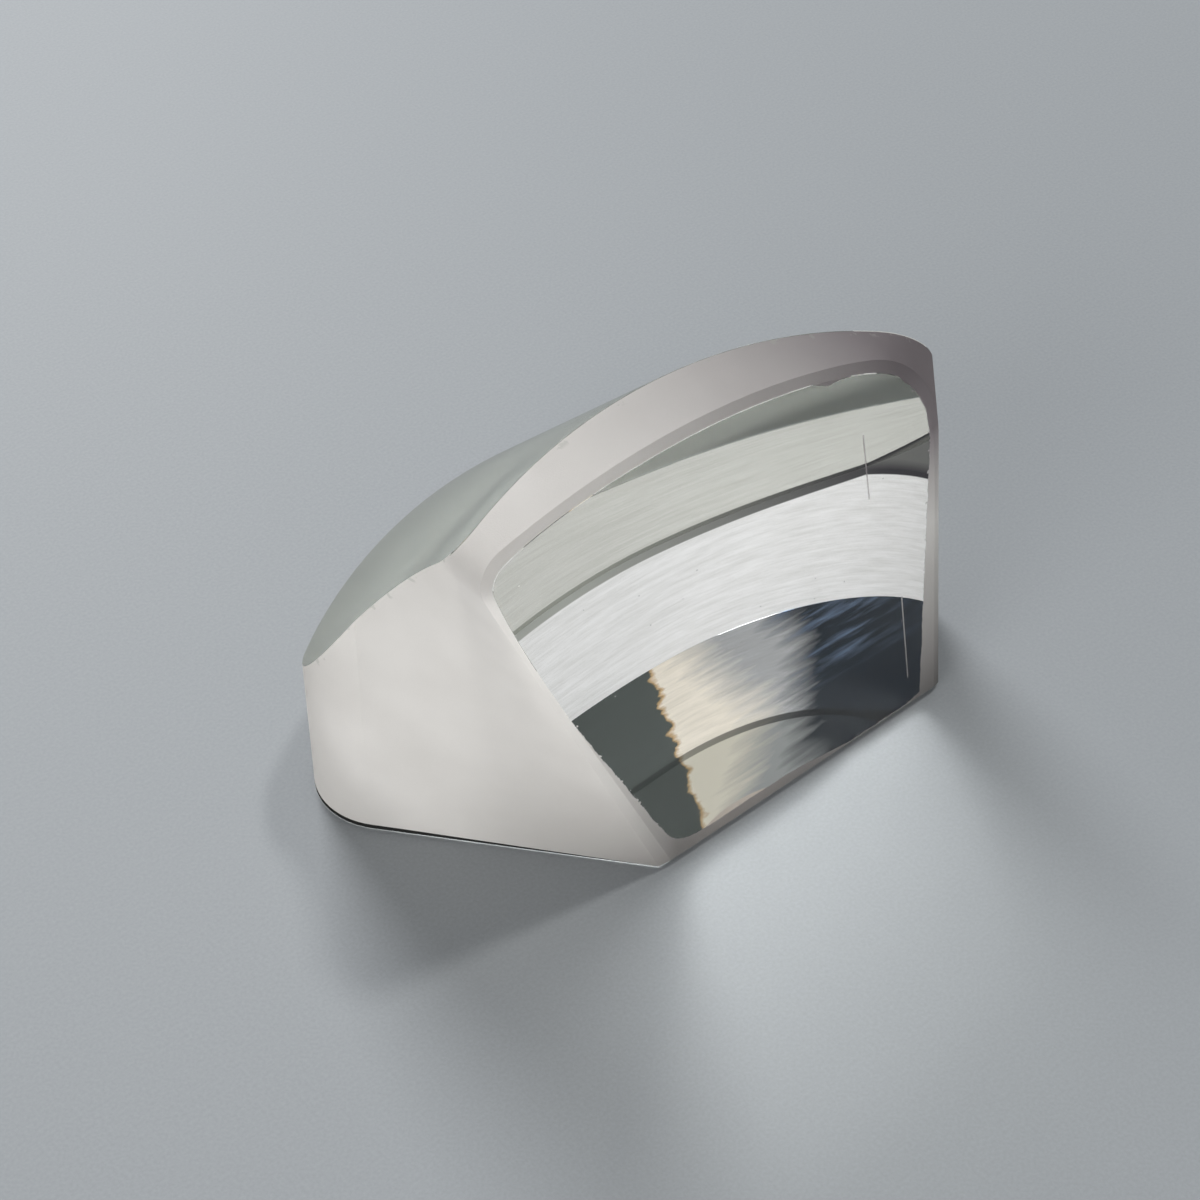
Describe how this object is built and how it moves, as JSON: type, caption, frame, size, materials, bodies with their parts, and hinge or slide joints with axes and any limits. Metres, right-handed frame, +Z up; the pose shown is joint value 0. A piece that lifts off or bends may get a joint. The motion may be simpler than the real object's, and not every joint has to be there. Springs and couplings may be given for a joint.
{
  "type": "right angle prism",
  "caption": "Right angle prism of clear glass with a polished crowned front face, a curved polished hypotenuse and ground walls, for turning or viewing a beam of light.",
  "frame": {"origin": "on the table, in the base, half the front width from its left end and half the depth back", "axes": "+Z up from the polished base, -Y out of the polished front face, +X to the right seen from the front"},
  "size_m": [0.0527, 0.0356, 0.0391],
  "materials": {
    "glass": "polished"
  },
  "bodies": {
    "root": {"prism": "glass"}
  },
  "joints": []
}
